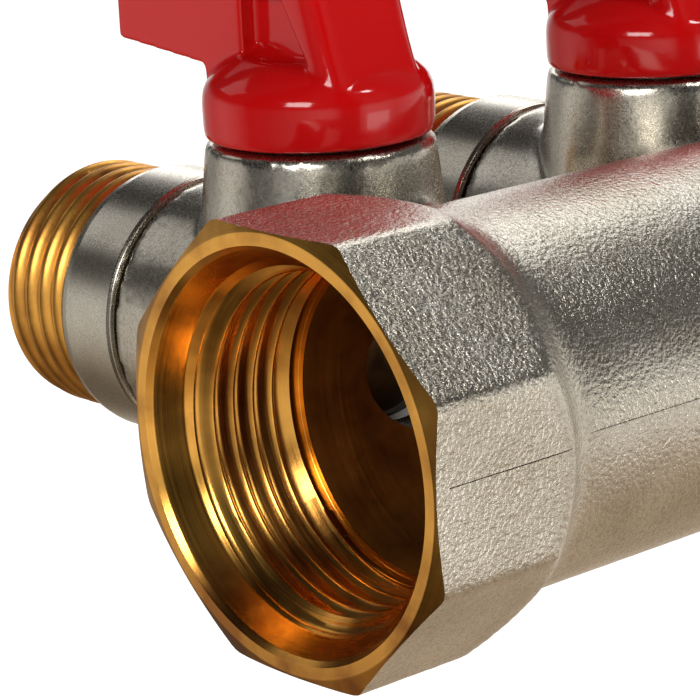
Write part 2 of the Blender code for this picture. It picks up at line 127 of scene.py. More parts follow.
soft_box("key_box", -152.0, 29.0, 0.34, 0.22, 14.0)
soft_box("right_box", -70.0, -10.0, 0.36, 0.18, 2.2)
soft_box("overhead_box", 28.0, 46.0, 0.38, 0.30, 3.0)
soft_box("back_box", 50.0, 17.0, 0.44, 0.20, 2.4)
soft_box("side_box", 108.0, 36.0, 0.34, 0.30, 0.7)
soft_box("spot_right", -58.0, 56.0, 0.12, 0.12, 19.0, shape="ELLIPSE")
fill = soft_box("front_fill", -66.0, 22.0, 0.50, 0.50, 2.9)
fill.visible_glossy = False
print("soft boxes:", [light.name for light in bpy.data.lights])


# %% [markdown]
# The room is a table with a dark ceiling. Up to a little above the horizon it is bright, with two dark
# gaps: a narrow one beside the camera, which gives the turned cone its deep brown, and a wider one on the
# left, which darkens one corner of the inlet's ring. Two colour ramps say how bright the room is, one by
# compass direction and one by height, and their product lights the scene.

# %% The room
def ramp(nodes, stops):
    node = nodes.new("ShaderNodeValToRGB")
    while len(node.color_ramp.elements) < len(stops):
        node.color_ramp.elements.new(0.5)
    for element, (position, colour) in zip(node.color_ramp.elements, stops):
        element.position = position
        element.color = (*colour, 1.0)
    return node


room = bpy.data.worlds.new("studio")
bpy.context.scene.world = room
room.use_nodes = True
room_nodes, room_links = room.node_tree.nodes, room.node_tree.links
direction = room_nodes.new("ShaderNodeTexCoord")
split = room_nodes.new("ShaderNodeSeparateXYZ")
compass = room_nodes.new("ShaderNodeMath")
compass.operation = "ARCTAN2"
compass_share = room_nodes.new("ShaderNodeMapRange")
compass_share.inputs["From Min"].default_value = -math.pi
compass_share.inputs["From Max"].default_value = math.pi
height_share = room_nodes.new("ShaderNodeMapRange")
height_share.inputs["From Min"].default_value = -1.0
horizon_glow = [(-180, 0.22), (-166, 0.40), (-150, 0.66), (-128, 1.20), (-117, 1.05), (-108, 0.05),
                (-92, 0.05), (-84, 1.45), (-66, 1.30), (-50, 0.74), (-36, 0.95), (-12, 1.30), (50, 1.20),
                (80, 0.36), (102, 0.34), (124, 0.86), (140, 0.76), (156, 0.10), (180, 0.20)]
room_tint = (1.0, 0.985, 0.96)
around = ramp(room_nodes, [((compass_deg + 180.0) / 360.0, [glow * part for part in room_tint])
                           for compass_deg, glow in horizon_glow])
upwards = ramp(room_nodes, [(0.0, (0.38, 0.29, 0.21)), (0.22, (0.52, 0.42, 0.32)),
                            (0.38, (1.0, 0.97, 0.93)), (0.53, (1.0, 1.0, 1.0)),
                            (0.61, (0.11, 0.11, 0.11)), (1.0, (0.08, 0.08, 0.08))])
both = room_nodes.new("ShaderNodeMix")
both.data_type = "RGBA"
both.blend_type = "MULTIPLY"
both.inputs["Factor"].default_value = 1.0
room_links.new(direction.outputs["Generated"], split.inputs[0])
room_links.new(split.outputs["Y"], compass.inputs[0])
room_links.new(split.outputs["X"], compass.inputs[1])
room_links.new(compass.outputs[0], compass_share.inputs["Value"])
room_links.new(split.outputs["Z"], height_share.inputs["Value"])
room_links.new(compass_share.outputs["Result"], around.inputs[0])
room_links.new(height_share.outputs["Result"], upwards.inputs[0])
room_links.new(around.outputs[0], both.inputs["A"])
room_links.new(upwards.outputs[0], both.inputs["B"])
room_links.new(both.outputs["Result"], room_nodes["Background"].inputs["Color"])
room_nodes["Background"].inputs["Strength"].default_value = 1.0
print("room ramps:", len(around.color_ramp.elements), len(upwards.color_ramp.elements))

# %% [markdown]
# The floor is a plain pale plane, well below the piece. It glows a little, so it looks even, and it is
# left out of reflections, where the room's ramps take its place.

# %% The floor
bpy.ops.object.select_all(action="DESELECT")
bpy.ops.mesh.primitive_plane_add(size=8.0, location=(0.0, 0.0, -0.09))
floor = bpy.context.object
floor.name = "floor"
floor.visible_glossy = False
print("floor at", floor.location[2])


# %% [markdown]
# ## Materials
# Every finish here is made of nodes. A small helper starts a material and hands back its shader, so each
# finish only has to add what makes it special.

# %% Material helpers
def new_finish(name, colour, metallic, roughness):
    finish = bpy.data.materials.new(name)
    finish.use_nodes = True
    shader = finish.node_tree.nodes["Principled BSDF"]
    shader.inputs["Base Color"].default_value = (*colour, 1.0)
    shader.inputs["Metallic"].default_value = metallic
    shader.inputs["Roughness"].default_value = roughness
    return finish, finish.node_tree.nodes, finish.node_tree.links, shader


def noise_at(nodes, links, coordinates, scale, detail=3.0):
    noise = nodes.new("ShaderNodeTexNoise")
    noise.inputs["Scale"].default_value = scale
    noise.inputs["Detail"].default_value = detail
    links.new(coordinates, noise.inputs["Vector"])
    return noise.outputs["Fac"]


def between(nodes, links, factor, low, high, start=0.0, end=1.0):
    spread = nodes.new("ShaderNodeMapRange")
    spread.inputs["From Min"].default_value = start
    spread.inputs["From Max"].default_value = end
    spread.inputs["To Min"].default_value = low
    spread.inputs["To Max"].default_value = high
    links.new(factor, spread.inputs["Value"])
    return spread.outputs["Result"]


def bump_from(nodes, links, height, distance, strength=1.0, below=None):
    bump = nodes.new("ShaderNodeBump")
    bump.inputs["Distance"].default_value = distance
    bump.inputs["Strength"].default_value = strength
    links.new(height, bump.inputs["Height"])
    if below:
        links.new(below, bump.inputs["Normal"])
    return bump.outputs["Normal"]


def colour_between(nodes, links, factor, first, second):
    mix = nodes.new("ShaderNodeMix")
    mix.data_type = "RGBA"
    mix.inputs["A"].default_value = (*first, 1.0)
    mix.inputs["B"].default_value = (*second, 1.0)
    links.new(factor, mix.inputs["Factor"])
    return mix.outputs["Result"]


# %% [markdown]
# The forging was blasted before it was plated, so the nickel has a fine grain that sparkles. The grain is
# bump at two sizes, the low spots of the grain are painted darker as painted shade in the pits, and the
# roughness wanders so that the sparkle is uneven. The valve housings were polished more, so the grain
# fades towards the outlets.

# %% Nickel plate on the forging
grain_height = 0.000095
fine_grain_height = 0.000020
polish_starts, polish_full = 8.0 * MM, 15.0 * MM


def make_nickel(name, depth):
    finish, nodes, links, shader = new_finish(name, (0.55, 0.51, 0.44), 1.0, 0.26)
    place = nodes.new("ShaderNodeTexCoord").outputs["Object"]
    fine = noise_at(nodes, links, place, 7000.0, 3.0)
    grain = noise_at(nodes, links, place, 3000.0, 3.0)
    cloud = noise_at(nodes, links, place, 160.0, 3.0)
    plate = colour_between(nodes, links, between(nodes, links, cloud, 0.0, 1.0, 0.35, 0.65),
                           (0.60, 0.560, 0.485), (0.49, 0.448, 0.370))
    # Painted shade: in the grain's low spots the plate is darkened towards a near-black grey, standing in
    # for shade in the pits.
    pit_shade = nodes.new("ShaderNodeMix")
    pit_shade.data_type = "RGBA"
    pit_shade.inputs["B"].default_value = (0.15, 0.14, 0.115, 1.0)
    links.new(plate, pit_shade.inputs["A"])
    links.new(between(nodes, links, grain, 0.30 * depth, 0.0, 0.34, 0.50), pit_shade.inputs["Factor"])
    links.new(pit_shade.outputs["Result"], shader.inputs["Base Color"])
    links.new(between(nodes, links, fine, 0.17, 0.36, 0.3, 0.7), shader.inputs["Roughness"])
    split_place = nodes.new("ShaderNodeSeparateXYZ")
    links.new(place, split_place.inputs[0])
    calm = between(nodes, links, split_place.outputs["Y"], 1.0, 0.08, polish_starts, polish_full)
    low = bump_from(nodes, links, grain, grain_height * depth)
    links.new(calm, low.node.inputs["Strength"])
    high = bump_from(nodes, links, fine, fine_grain_height * depth, below=low)
    links.new(calm, high.node.inputs["Strength"])
    links.new(high, shader.inputs["Normal"])
    return finish


# %% [markdown]
# Turned brass carries the tool's fine rings. The rings follow the distance from the turning axis and the
# place along it, so both go into one noise pattern that is stretched round the axis. Brass also tarnishes:
# it has brown stains at random, and the colour is also made darker towards the bottom.

# %% Turned brass
low_dark_full, low_dark_ends = -15.0 * MM, -8.0 * MM


def make_brass(name, axis, centre, roughness=0.23):
    finish, nodes, links, shader = new_finish(name, (0.70, 0.34, 0.10), 1.0, roughness)
    place = nodes.new("ShaderNodeTexCoord").outputs["Object"]
    shift = nodes.new("ShaderNodeMapping")
    shift.vector_type = "POINT"
    shift.inputs["Location"].default_value = [-value for value in centre]
    links.new(place, shift.inputs["Vector"])
    parts = nodes.new("ShaderNodeSeparateXYZ")
    links.new(shift.outputs["Vector"], parts.inputs[0])
    along = parts.outputs[axis]
    across = nodes.new("ShaderNodeVectorMath")
    across.operation = "MULTIPLY"
    across.inputs[1].default_value = [0.0 if letter == axis else 1.0 for letter in "XYZ"]
    links.new(shift.outputs["Vector"], across.inputs[0])
    radius = nodes.new("ShaderNodeVectorMath")
    radius.operation = "LENGTH"
    links.new(across.outputs["Vector"], radius.inputs[0])
    rings = nodes.new("ShaderNodeCombineXYZ")
    links.new(radius.outputs["Value"], rings.inputs["X"])
    links.new(along, rings.inputs["Y"])
    marks = noise_at(nodes, links, rings.outputs["Vector"], 6500.0, 2.0)
    stain = noise_at(nodes, links, place, 190.0, 6.0)
    worn = between(nodes, links, stain, 0.0, 1.0, 0.42, 0.72)
    # Darker towards the bottom: from -8 mm down to -15 mm the colour moves part of the way to the dark
    # brown.
    low_down = between(nodes, links, parts.outputs["Z"], 0.55, 0.0, low_dark_full, low_dark_ends)
    stains_and_low_dark = nodes.new("ShaderNodeMath")
    stains_and_low_dark.operation = "ADD"
    stains_and_low_dark.use_clamp = True
    links.new(worn, stains_and_low_dark.inputs[0])
    links.new(low_down, stains_and_low_dark.inputs[1])
    clean, dark_brown = (0.83, 0.42, 0.085), (0.34, 0.135, 0.03)
    links.new(colour_between(nodes, links, stains_and_low_dark.outputs[0], clean, dark_brown),
              shader.inputs["Base Color"])
    links.new(between(nodes, links, marks, roughness - 0.05, roughness + 0.05, 0.3, 0.7),
              shader.inputs["Roughness"])
    links.new(bump_from(nodes, links, marks, 0.000008, 0.5), shader.inputs["Normal"])
    return finish


# %% [markdown]
# The handles are moulded in a glossy red plastic. A mould leaves a very faint orange-peel wave, which
# keeps the highlights from looking drawn with a ruler.

# %% Red plastic and the small finishes
def make_plastic(name, colour, roughness, wave):
    finish, nodes, links, shader = new_finish(name, colour, 0.0, roughness)
    place = nodes.new("ShaderNodeTexCoord").outputs["Object"]
    peel = noise_at(nodes, links, place, wave, 2.0)
    links.new(between(nodes, links, peel, roughness * 0.8, roughness * 1.25, 0.3, 0.7),
              shader.inputs["Roughness"])
    links.new(bump_from(nodes, links, peel, 0.00003, 0.35), shader.inputs["Normal"])
    return finish


def make_metal(name, colour, roughness, wave):
    finish, nodes, links, shader = new_finish(name, colour, 1.0, roughness)
    place = nodes.new("ShaderNodeTexCoord").outputs["Object"]
    cloud = noise_at(nodes, links, place, wave, 3.0)
    links.new(between(nodes, links, cloud, roughness * 0.7, roughness * 1.4, 0.3, 0.7),
              shader.inputs["Roughness"])
    return finish


nickel = make_nickel("nickel_on_forging", 1.0)
collar_nickel = make_nickel("nickel_on_collar", 0.35)
inlet_brass = make_brass("inlet_brass", "X", (0.0, 0.0, 0.0))
bore_brass = make_brass("bore_brass", "X", (0.0, 0.0, 0.0), 0.42)
red = make_plastic("red_plastic", (0.48, 0.0035, 0.004), 0.10, 900.0)
red_shader = red.node_tree.nodes["Principled BSDF"]
red_shader.inputs["Specular IOR Level"].default_value = 0.36
ptfe = make_plastic("white_ptfe", (0.82, 0.82, 0.79), 0.42, 500.0)
rubber = make_plastic("black_rubber", (0.016, 0.016, 0.017), 0.55, 1500.0)
chrome = make_metal("chrome_plate", (0.62, 0.63, 0.65), 0.07, 400.0)
# Partly real, partly painted shade: the ball's bore is rougher than its chrome, and its dark grey colour
# is painted shade inside the bore.
bore_shade_finish = make_metal("bored_plate", (0.20, 0.19, 0.165), 0.45, 700.0)
zinc = make_metal("zinc_plate", (0.56, 0.57, 0.60), 0.32, 900.0)
paper = make_plastic("pale_floor", (0.45, 0.45, 0.45), 0.8, 20.0)
paper_shader = paper.node_tree.nodes["Principled BSDF"]
paper_shader.inputs["Emission Color"].default_value = (1.0, 1.0, 1.0, 1.0)
paper_shader.inputs["Emission Strength"].default_value = 0.88
floor.data.materials.append(paper)
print("finishes:", [item.name for item in bpy.data.materials if item.users])


# %% [markdown]
# ## Helpers for shaping
# Turned pieces are drawn the way a lathe sees them: one vertex is pushed out along the outline, and the
# outline is then spun once round the axis. The outline is a list of (radius, height) in millimetres.

# %% Turn an outline round an axis
def clear_selection():
    bpy.ops.object.select_all(action="DESELECT")


def settle(piece, centre, axis):
    """Lay the finished shape along X, Y or Z at its centre and apply that to the mesh."""
    clear_selection()
    piece.select_set(True)
    bpy.context.view_layer.objects.active = piece
    if axis == "X":
        piece.rotation_euler = (0.0, math.pi / 2, 0.0)
    if axis == "Y":
        piece.rotation_euler = (-math.pi / 2, 0.0, 0.0)
    piece.location = centre
    bpy.ops.object.transform_apply(location=True, rotation=True, scale=True)
    return piece


def draw_outline(name, outline, closed):
    clear_selection()
    bpy.ops.mesh.primitive_plane_add(size=0.001, location=(0.0, 0.0, 0.0))
    piece = bpy.context.object
    piece.name = name
    bpy.ops.object.mode_set(mode="EDIT")
    bpy.ops.mesh.select_mode(type="VERT")
    bpy.ops.mesh.select_all(action="SELECT")
    bpy.ops.mesh.merge(type="CENTER")
    here = outline[0]
    bpy.ops.transform.translate(value=(here[0] * MM, 0.0, here[1] * MM))
    for there in outline[1:]:
        step = ((there[0] - here[0]) * MM, 0.0, (there[1] - here[1]) * MM)
        bpy.ops.mesh.extrude_vertices_move(TRANSFORM_OT_translate={"value": step})
        here = there
    if closed:
        step = ((outline[0][0] - here[0]) * MM, 0.0, (outline[0][1] - here[1]) * MM)
        bpy.ops.mesh.extrude_vertices_move(TRANSFORM_OT_translate={"value": step})
        bpy.ops.mesh.select_all(action="SELECT")
        bpy.ops.mesh.remove_doubles(threshold=0.000001)
    return piece


def eased(outline, ease=0.03):
    """Break every corner by a hair, with a second point close by that keeps the flats flat."""
    points = [outline[0]]
    for before, here, after in zip(outline, outline[1:], outline[2:]):
        here_v = Vector(here)
        for other, order in ((before, (3.0, 1.0)), (after, (1.0, 3.0))):
            way = Vector(other) - here_v
            if way.length >= 7.0 * ease:
                points += [tuple(here_v + way.normalized() * ease * part) for part in order]
            elif points[-1] != tuple(here):
                points.append(tuple(here))
    return points + [outline[-1]]


def turn(name, outline, centre=(0.0, 0.0, 0.0), axis="Z", steps=96, closed=False):
    piece = draw_outline(name, outline, closed)
    bpy.ops.mesh.select_all(action="SELECT")
    bpy.ops.mesh.spin(steps=steps, angle=math.tau, center=(0.0, 0.0, 0.0), axis=(0.0, 0.0, 1.0))
    bpy.ops.mesh.select_all(action="SELECT")
    bpy.ops.mesh.remove_doubles(threshold=0.000002)
    bpy.ops.mesh.normals_make_consistent(inside=False)
    bpy.ops.object.mode_set(mode="OBJECT")
    return settle(piece, centre, axis)


# %% [markdown]
# Pieces are joined and cut with Boolean modifiers that are applied at once, after which the tool is
# thrown away. A tool that leaves bare brass carries the brass in its second slot, and the cut faces
# inherit that slot: this is how the machined faces of the plated forging turn out bare.

# %% Join, cut and paint
def apply_modifier(piece, modifier):
    clear_selection()
    piece.select_set(True)
    bpy.context.view_layer.objects.active = piece
    bpy.ops.object.modifier_apply(modifier=modifier.name)


def combine(piece, tool, operation):
    step = piece.modifiers.new("step", "BOOLEAN")
    step.operation = operation
    step.solver = "MANIFOLD"
    step.object = tool
    apply_modifier(piece, step)
    assert not piece.modifiers, tool.name + " is not a closed solid"
    bpy.data.objects.remove(tool, do_unlink=True)


def paint(piece, finishes, slot=0):
    piece.data.materials.clear()
    for finish in finishes:
        piece.data.materials.append(finish)
    piece.data.polygons.foreach_set("material_index", [slot] * len(piece.data.polygons))


def soften(piece, degrees=35.0):
    clear_selection()
    piece.select_set(True)
    bpy.context.view_layer.objects.active = piece
    bpy.ops.object.shade_smooth_by_angle(angle=math.radians(degrees))


# %% [markdown]
# A screw thread is one small wave, as long as the pitch, that turns and climbs at the same time. The
# Screw modifier does exactly that. The pitch is that of pipe threads with fourteen turns to the inch, and
# fullness makes the crests fat or sharp. Both ragged ends are then cut square and filled, which leaves a
# solid threaded rod: a cutter for an inside thread and a core for an outside thread.

# %% A threaded rod
thread_pitch = 1.814


def threaded_rod(name, root, crest, start, end, centre, axis, fullness, steps=96):
    waves = 12
    outline = []
    for i in range(waves + 1):
        wave = 0.5 - 0.5 * math.cos(math.tau * i / waves)
        height = start - 2 * thread_pitch + thread_pitch * i / waves
        outline.append((root + (crest - root) * wave ** fullness, height))
    rod = draw_outline(name, outline, False)
    bpy.ops.object.mode_set(mode="OBJECT")
    climb = rod.modifiers.new("climb", "SCREW")
    climb.axis = "Z"
    climb.angle = math.tau
    climb.screw_offset = thread_pitch * MM
    climb.iterations = int((end - start) / thread_pitch) + 4
    climb.steps = steps
    climb.render_steps = steps
    climb.use_merge_vertices = True
    climb.merge_threshold = 0.000002
    apply_modifier(rod, climb)
    bpy.ops.object.mode_set(mode="EDIT")
    for height, lower in ((start, True), (end, False)):
        bpy.ops.mesh.select_all(action="SELECT")
        bpy.ops.mesh.bisect(plane_co=(0.0, 0.0, height * MM), plane_no=(0.0, 0.0, 1.0), use_fill=True,
                            clear_inner=lower, clear_outer=not lower, threshold=0.000001)
    bpy.ops.mesh.select_all(action="SELECT")
    bpy.ops.mesh.remove_doubles(threshold=0.000001)
    bpy.ops.mesh.normals_make_consistent(inside=False)
    bpy.ops.object.mode_set(mode="OBJECT")
    return settle(rod, centre, axis)


# %% [markdown]
# Prisms are the other simple shape: an outline is filled and then pulled out straight. The helper places
# the outline in the Y-Z plane for a pull along X, or in the X-Y plane for a pull along Z.

# %% Pull a prism
def pull(name, outline, start, length, centre, axis):
    piece = draw_outline(name, outline, True)
    bpy.ops.mesh.select_all(action="SELECT")
    bpy.ops.mesh.edge_face_add()
    bpy.ops.transform.translate(value=(0.0, -start * MM, 0.0))
    bpy.ops.mesh.extrude_region_move(TRANSFORM_OT_translate={"value": (0.0, -length * MM, 0.0)})
    bpy.ops.mesh.select_all(action="SELECT")
    bpy.ops.mesh.normals_make_consistent(inside=False)
    bpy.ops.object.mode_set(mode="OBJECT")
    piece.rotation_euler = (0.0, 0.0, math.pi / 2) if axis == "X" else (-math.pi / 2, 0.0, 0.0)
    piece.location = centre
    bpy.ops.object.transform_apply(location=True, rotation=True, scale=True)
    return piece


def wedge(inner, outer, middle_deg, half_deg, count=6):
    """An outline of a piece of a ring, for the stops that end the handle's turn."""
    points = []
    for radius, order in ((outer, 1), (inner, -1)):
        for i in range(count + 1):
            angle = math.radians(middle_deg + order * half_deg * (2 * i / count - 1))
            points.append((radius * math.cos(angle), radius * math.sin(angle)))
    return points


# %% [markdown]
# ## The forging
# The bar, the octagon and the three valve housings leave the die as one lump. They are joined as plain
# solids and then remeshed into one even skin, which is relaxed so that every inner corner gets the soft
# fillet of a forging. The octagon starts a little before the inlet face, because the lathe faces it later.

# %% Octagon and bar
flat_mm, bar_mm = flat / MM, bar_r / MM
bpy.ops.object.select_all(action="DESELECT")
skin_allowance = 0.05 * MM
half_side_turn = math.radians(22.5)
bpy.ops.mesh.primitive_cylinder_add(vertices=8, radius=corner - skin_allowance, depth=18.0 * MM,
                                    location=(0.0, 0.0, 0.0), rotation=(0.0, 0.0, half_side_turn))
forging = bpy.context.object
forging.name = "manifold_forging"
bpy.ops.object.transform_apply(location=True, rotation=True, scale=True)
settle(forging, (7.4 * MM, 0.0, 0.0), "X")
back_shape = [(0.0, 16.4), (bar_mm, 16.4), (bar_mm + 0.08, 15.4), (bar_mm + 0.28, 14.6),
              (bar_mm + 0.62, 13.9), (bar_mm + 1.05, 13.25), (flat_mm, 12.6), (corner / MM + 0.1, 10.5),
              (corner / MM + 0.1, -1.5), (0.0, -1.5)]
combine(forging, turn("back_shape", back_shape, axis="X", steps=128), "INTERSECT")
end_mm = bar_end / MM
bar_shape = [(0.0, end_mm), (bar_mm - 0.4, end_mm), (bar_mm, end_mm - 0.5), (bar_mm, 3.0), (0.0, 3.0)]
combine(forging, turn("bar", bar_shape, axis="X", steps=128), "UNION")
print("forging faces:", len(forging.data.polygons))

# %% [markdown]
# Each valve adds a housing towards the outlet and a slightly tapered neck towards the handle.

# %% Housings and necks
mouth_mm = mouth_y / MM
for stem in stems:
    housing = [(0.0, mouth_mm), (collar_r / MM - 0.4, mouth_mm), (collar_r / MM, mouth_mm - 0.4),
               (collar_r / MM, 21.0), (collar_r / MM, 2.0), (0.0, 2.0)]
    combine(forging, turn("housing", housing, (stem[0], 0.0, 0.0), "Y", 96), "UNION")
    neck = [(0.0, 15.9), (8.6, 15.9), (8.8, 15.7), (9.45, 9.7), (9.5, 1.0), (0.0, 1.0)]
    combine(forging, turn("neck", neck, (stem[0], valve_y, 0.0), "Z", 96), "UNION")
print("forging faces:", len(forging.data.polygons))


# %% [markdown]
# The remesh makes the skin even, the smoothing rounds it, and a fine random push gives the surface the
# slight unevenness of a blasted forging. The octagon is nearest to the eye, so its skin is made finer.

# %% Skin of the forging
def even_skin(piece, voxel, passes, factor=0.5):
    skin = piece.modifiers.new("skin", "REMESH")
    skin.mode = "VOXEL"
    skin.voxel_size = voxel
    apply_modifier(piece, skin)
    relax = piece.modifiers.new("relax", "SMOOTH")
    relax.factor = factor
    relax.iterations = passes
    apply_modifier(piece, relax)


def roughen(piece, size, strength, middle=0.7):
    grain = bpy.data.textures.new("grain", "CLOUDS")
    grain.noise_scale = size
    grain.noise_depth = 2
    push = piece.modifiers.new("push", "DISPLACE")
    push.texture = grain
    push.texture_coords = "LOCAL"
    push.strength = strength
    push.mid_level = middle
    apply_modifier(piece, push)


forging_voxel = 0.645 * MM
fine_skin_end = 17.0 * MM
even_skin(forging, forging_voxel, 3)
bpy.ops.object.mode_set(mode="EDIT")
bpy.ops.mesh.select_mode(type="FACE")
bpy.ops.object.mode_set(mode="OBJECT")
for part in forging.data.polygons:
    part.select = part.center[0] < fine_skin_end
bpy.ops.object.mode_set(mode="EDIT")
bpy.ops.mesh.subdivide(number_cuts=1)
bpy.ops.object.mode_set(mode="OBJECT")
roughen(forging, 0.8 * MM, 0.05 * MM)
paint(forging, [nickel, inlet_brass, bore_brass])
print("forging faces:", len(forging.data.polygons))
print("forging size:", [round(size / MM, 2) for size in forging.dimensions])

# %% [markdown]
# The two halves of the die meet in the middle of the bar. There the trimmed flash leaves a narrow band
# that stands a little proud, and on the octagon a fine torn line.

# %% The trimmed flash
flash = turn("flash", [(0.0, end_mm - 1.0), (bar_mm + 0.09, end_mm - 1.0), (bar_mm + 0.09, 15.2),
                       (bar_mm - 0.2, 14.8), (0.0, 14.8)], axis="X", steps=160)
band = pull("band", [(-20.0, -1.10), (20.0, -1.10), (20.0, 0.95), (-20.0, 0.95)], 10.0, 110.0,
            (0.0, 0.0, 0.0), "X")
combine(flash, band, "INTERSECT")
paint(flash, [nickel, inlet_brass, bore_brass])
combine(forging, flash, "UNION")
tear = pull("tear", [(-17.0, 0.62), (-flat_mm + 0.30, 0.86), (-17.0, 1.10)], 1.2, 11.4,
            (0.0, 0.0, 0.0), "X")
paint(tear, [nickel, inlet_brass, bore_brass])
combine(forging, tear, "DIFFERENCE")
print("forging faces:", len(forging.data.polygons))

# %% [markdown]
# ## Machining
# The lathe faces the inlet and leaves a bare ring: flat up to its edge, then a shallow cone that bites
# into the eight corners. That cone gives the curved edge between brass and plate.

# %% Face the inlet
def machine(tool, operation="DIFFERENCE", slot=1):
    paint(tool, [nickel, inlet_brass, bore_brass], slot)
    combine(forging, tool, operation)


ring_mm = flat_mm - 0.22
machine(turn("facing_tool", eased([(0.0, -4.0), (21.0, -4.0), (21.0, 2.11), (ring_mm, 0.0), (0.0, 0.0)]),
             axis="X", steps=192))
print("after facing:", len(forging.data.polygons))

# %% [markdown]
# Behind the ring come the conical seat for a gasket, a shoulder and the thread. One boring tool cuts the
# seat, the shoulder, the thread's core and the long bore behind it. The thread is then cut by a threaded
# rod whose waves fade out at the inner end, as they do behind a tap.

# %% Bore and thread the inlet
bore_mm = bore_r / MM
mouth_r = flat_mm - 1.42
core_r = bore_mm + 0.46
boring_tool = [(0.0, -1.0), (mouth_r + 1.0, -1.0), (mouth_r + 0.32, 0.0), (mouth_r - 0.06, 0.42),
               (mouth_r - 1.03, 2.5), (core_r + 0.42, 3.55), (core_r, 3.95), (core_r, 12.1), (0.0, 12.1)]
machine(turn("boring_tool", eased(boring_tool), axis="X", steps=192))
long_bore = [(0.0, 11.0), (bore_mm, 11.0), (bore_mm, end_mm - 4.5), (9.5, end_mm - 3.0),
             (9.5, end_mm + 14.0), (0.0, end_mm + 14.0)]
machine(turn("long_bore", long_bore, axis="X", steps=128), slot=2)
tap = threaded_rod("tap", core_r - 0.02, core_r + 1.14, 1.9325, 11.6, (0.0, 0.0, 0.0), "X", 0.85,
                   steps=160)
fade = turn("fade", [(0.0, 1.0), (14.0, 1.0), (14.0, 9.4), (core_r - 0.1, 11.3), (core_r - 0.1, 12.0),
                     (0.0, 12.0)], axis="X", steps=160)
combine(tap, fade, "INTERSECT")
machine(tap)
print("after threading:", len(forging.data.polygons))

# %% [markdown]
# Each housing is bored from its mouth: a wide bore for the tailpiece, the ball's chamber, a pocket for the
# inner seat and a port into the bar. From above come the spigot that guides the handle, the hole for the
# stem, and the two stops that end the quarter turn.

# %% Bore the valves
stop_angles = (250.6, 109.4)
half_stop = 11.0
for stem in stems:
    at_bar = (stem[0], 0.0, 0.0)
    at_stem = (stem[0], valve_y, 0.0)
    machine(turn("spigot", [(0.0, 18.0), (6.6, 18.0), (6.9, 17.7), (6.9, 14.5), (0.0, 14.5)], at_stem,
                 "Z", 64), "UNION", 0)
    chamber = [(0.0, 37.0), (10.2, 37.0), (10.0, 35.4), (9.25, 34.7), (9.25, 29.2), (8.5, 29.2),
               (8.5, 17.1), (8.2, 17.1), (8.2, 13.9), (5.2, 13.9), (5.2, 7.0), (0.0, 7.0)]
    machine(turn("chamber", chamber, at_bar, "Y", 72), slot=0)
    hole = [(0.0, 19.5), (4.3, 19.5), (4.1, 17.8), (4.1, 11.4), (5.3, 11.4), (5.3, 4.8), (0.0, 4.8)]
    machine(turn("stem_hole", hole, at_stem, "Z", 64))
    for middle in stop_angles:
        machine(pull("stop", wedge(5.5, 6.7, middle, half_stop), 17.4, 1.9, at_stem, "Z"), "UNION")
print("after the valves:", len(forging.data.polygons))

# %% [markdown]
# The far end is turned down and threaded to screw into the next manifold, with a groove for its seal.

# %% Thread the far end
far_mm = far_end / MM
male_mm = male_r / MM
male = threaded_rod("male", male_mm - 1.16, male_mm, end_mm - 1.5, far_mm, (0.0, 0.0, 0.0), "X", 0.8)
trim = [(0.0, end_mm - 2.0), (14.0, end_mm - 2.0), (14.0, far_mm - 1.4), (male_mm - 1.2, far_mm),
        (0.0, far_mm)]
combine(male, turn("trim", trim, axis="X", steps=128), "INTERSECT")
groove = [(11.5, end_mm), (11.5, end_mm + 2.7), (12.0, end_mm + 3.1), (15.0, end_mm + 3.1),
          (15.0, end_mm)]
combine(male, turn("groove", groove, axis="X", steps=128, closed=True), "DIFFERENCE")
far_bore = [(0.0, end_mm - 3.0), (9.5, end_mm - 3.0), (9.5, far_mm - 0.5), (10.1, far_mm + 0.2),
            (10.1, far_mm + 1.0), (0.0, far_mm + 1.0)]
combine(male, turn("far_bore", far_bore, axis="X", steps=128), "DIFFERENCE")
machine(male, "UNION")
soften(forging, 42.0)
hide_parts("manifold_body")
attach(forging, "manifold")
print("manifold:", len(forging.data.polygons), "faces, slots", [m.name for m in forging.data.materials])


# %% [markdown]
# ## The outlet tailpiece
# The tailpiece holds the ball in its seats and carries the outlet's outside thread. Its collar is plated,
# its thread is bare. Heights are measured from the stem's axis along the outlet.

# %% Tailpiece of the first valve
def finish_piece(piece, node, body):
    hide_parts(node)
    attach(piece, body)


first = (stems[0][0], valve_y, 0.0)
outlet_brass = make_brass("outlet_brass", "Y", (0.0, 0.0, 0.0), 0.36)
collar = [(0.0, 7.8), (8.6, 7.8), (8.95, 8.2), (8.95, 12.3), (7.5, 12.3), (7.5, 13.9), (10.45, 13.9),
          (10.75, 14.0), (10.9, 14.3), (10.9, 19.6), (10.8, 20.2), (10.5, 20.8), (10.1, 21.2), (9.7, 21.3),
          (9.2, 21.3), (0.0, 21.3)]
tailpiece = turn("tailpiece_1", eased(collar), first, "Y", 128)
paint(tailpiece, [outlet_brass, collar_nickel], 1)
spout = threaded_rod("spout", 9.3, 10.2, 20.6, 29.4, first, "Y", 0.42)
spout_trim = [(0.0, 20.0), (11.5, 20.0), (11.5, 28.1), (9.3, 29.4), (0.0, 29.4)]
combine(spout, turn("spout_trim", spout_trim, first, "Y", 128), "INTERSECT")
paint(spout, [outlet_brass, collar_nickel], 0)
combine(tailpiece, spout, "UNION")
spout_bore = [(0.0, 7.0), (5.2, 7.0), (5.2, 14.3), (6.8, 17.3), (6.8, 29.0), (7.3, 29.6), (7.3, 30.0),
              (0.0, 30.0)]
spout_bore = turn("spout_bore", spout_bore, first, "Y", 96)
paint(spout_bore, [outlet_brass, collar_nickel], 0)
combine(tailpiece, spout_bore, "DIFFERENCE")
soften(tailpiece, 42.0)
print("tailpiece:", len(tailpiece.data.polygons), "faces")

# %% [markdown]
# ## Inside the valve
# The ball is a sphere with a bore and a slot for the stem. Two plastic seats hug it, and the tailpiece
# has its own rubber ring.

